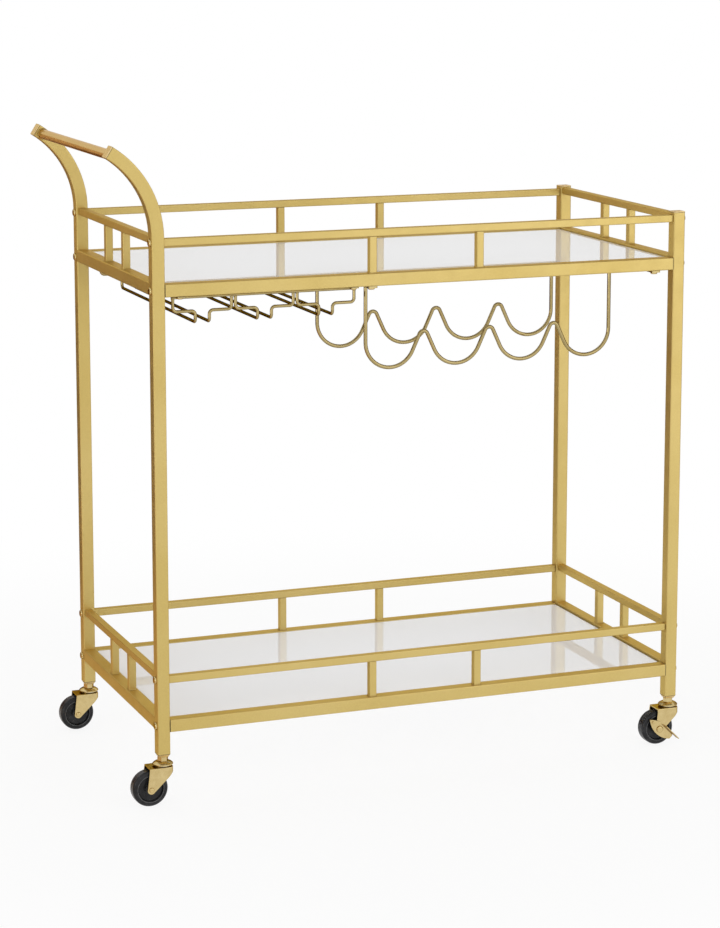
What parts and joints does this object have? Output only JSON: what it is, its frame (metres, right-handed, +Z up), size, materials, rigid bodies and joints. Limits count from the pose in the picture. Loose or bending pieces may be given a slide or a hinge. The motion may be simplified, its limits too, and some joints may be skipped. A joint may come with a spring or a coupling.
{
  "type": "bar cart",
  "caption": "Bar cart on swivel casters: square-tube frame with a bent push handle, glass shelves inside galleries, wire stemware channels and bottle hoops under the top.",
  "frame": {"origin": "on the floor, below the middle of the overall length and of the frame's depth", "axes": "+Z up, +X from the push handle to the plain end, +Y from the front to the rear"},
  "size_m": [0.781, 0.3781, 0.8231],
  "materials": {
    "frame_gold": "satin gold powder coat with a fine grain",
    "cap_gold": "gold-coloured moulded plastic, flush with the tube",
    "shelf_glass": "opaque pale grey glass, glossy, edges ground",
    "clear_pad": "soft clear pad",
    "plated_gold": "bright gold-coloured plating",
    "insert_steel": "plain zinc-plated steel",
    "wire_gold": "champagne-gold plated steel, polished",
    "wheel_charcoal": "charcoal moulded wheel"
  },
  "bodies": {
    "frame": {"leg_front_left": "frame_gold", "leg_rear_left": "frame_gold", "leg_front_right": "frame_gold", "leg_rear_right": "frame_gold", "handle_grip": "frame_gold", "handle_end_caps": "cap_gold", "post_top_plugs": "cap_gold", "leg_foot_inserts": "cap_gold", "upper_front_rail": "frame_gold", "upper_front_gallery_rail": "frame_gold", "upper_rear_rail": "frame_gold", "upper_rear_gallery_rail": "frame_gold", "upper_left_rail": "frame_gold", "upper_left_gallery_rail": "frame_gold", "upper_right_rail": "frame_gold", "upper_right_gallery_rail": "frame_gold", "upper_balusters": "frame_gold", "upper_glass": "shelf_glass", "lower_front_rail": "frame_gold", "lower_front_gallery_rail": "frame_gold", "lower_rear_rail": "frame_gold", "lower_rear_gallery_rail": "frame_gold", "lower_left_rail": "frame_gold", "lower_left_gallery_rail": "frame_gold", "lower_right_rail": "frame_gold", "lower_right_gallery_rail": "frame_gold", "lower_balusters": "frame_gold", "lower_glass": "shelf_glass", "glass_tabs": "frame_gold", "glass_pads": "clear_pad", "frame_bolts_left": "plated_gold", "frame_bolts_right": "plated_gold", "rack_screws": "plated_gold", "rail_end_inserts": "insert_steel", "gallery_end_inserts": "insert_steel", "stemware_cross_wires": "wire_gold", "stemware_channel_1": "wire_gold", "stemware_channel_2": "wire_gold", "stemware_channel_3": "wire_gold", "stemware_tabs": "wire_gold", "bottle_straps": "wire_gold", "bottle_hoops_front": "wire_gold", "bottle_hoops_rear": "wire_gold", "caster_stems": "plated_gold", "swivel_washers": "insert_steel"},
    "swivel_front_left": {"caster_fork_front_left": "plated_gold", "caster_axle_front_left": "plated_gold"},
    "wheel_front_left": {"caster_wheel_front_left": "wheel_charcoal"},
    "swivel_rear_left": {"caster_fork_rear_left": "plated_gold", "caster_axle_rear_left": "plated_gold"},
    "wheel_rear_left": {"caster_wheel_rear_left": "wheel_charcoal"},
    "swivel_front_right": {"caster_fork_front_right": "plated_gold", "caster_axle_front_right": "plated_gold"},
    "wheel_front_right": {"caster_wheel_front_right": "wheel_charcoal"},
    "brake_front_right": {"brake_lever_front_right": "plated_gold"},
    "swivel_rear_right": {"caster_fork_rear_right": "plated_gold", "caster_axle_rear_right": "plated_gold"},
    "wheel_rear_right": {"caster_wheel_rear_right": "wheel_charcoal"},
    "brake_rear_right": {"brake_lever_rear_right": "plated_gold"}
  },
  "joints": [
    {"name": "swivel_front_left", "type": "hinge", "parent": "frame", "child": "swivel_front_left", "pos_m": [-0.32516, -0.171, 0.04975], "axis": [0, 0, 1], "continuous": true},
    {"name": "spin_front_left", "type": "hinge", "parent": "swivel_front_left", "child": "wheel_front_left", "pos_m": [-0.34336, -0.171, 0.02275], "axis": [0, 1, 0], "continuous": true},
    {"name": "swivel_rear_left", "type": "hinge", "parent": "frame", "child": "swivel_rear_left", "pos_m": [-0.32516, 0.171, 0.04975], "axis": [0, 0, 1], "continuous": true},
    {"name": "spin_rear_left", "type": "hinge", "parent": "swivel_rear_left", "child": "wheel_rear_left", "pos_m": [-0.34336, 0.171, 0.02275], "axis": [0, 1, 0], "continuous": true},
    {"name": "swivel_front_right", "type": "hinge", "parent": "frame", "child": "swivel_front_right", "pos_m": [0.37884, -0.171, 0.04975], "axis": [0, 0, 1], "continuous": true},
    {"name": "spin_front_right", "type": "hinge", "parent": "swivel_front_right", "child": "wheel_front_right", "pos_m": [0.36064, -0.171, 0.02275], "axis": [0, 1, 0], "continuous": true},
    {"name": "brake_front_right", "type": "hinge", "parent": "swivel_front_right", "child": "brake_front_right", "pos_m": [0.36064, -0.171, 0.02275], "axis": [0, -1, 0], "range_deg": [0, 28]},
    {"name": "swivel_rear_right", "type": "hinge", "parent": "frame", "child": "swivel_rear_right", "pos_m": [0.37884, 0.171, 0.04975], "axis": [0, 0, 1], "continuous": true},
    {"name": "spin_rear_right", "type": "hinge", "parent": "swivel_rear_right", "child": "wheel_rear_right", "pos_m": [0.36064, 0.171, 0.02275], "axis": [0, 1, 0], "continuous": true},
    {"name": "brake_rear_right", "type": "hinge", "parent": "swivel_rear_right", "child": "brake_rear_right", "pos_m": [0.36064, 0.171, 0.02275], "axis": [0, -1, 0], "range_deg": [0, 28]}
  ]
}
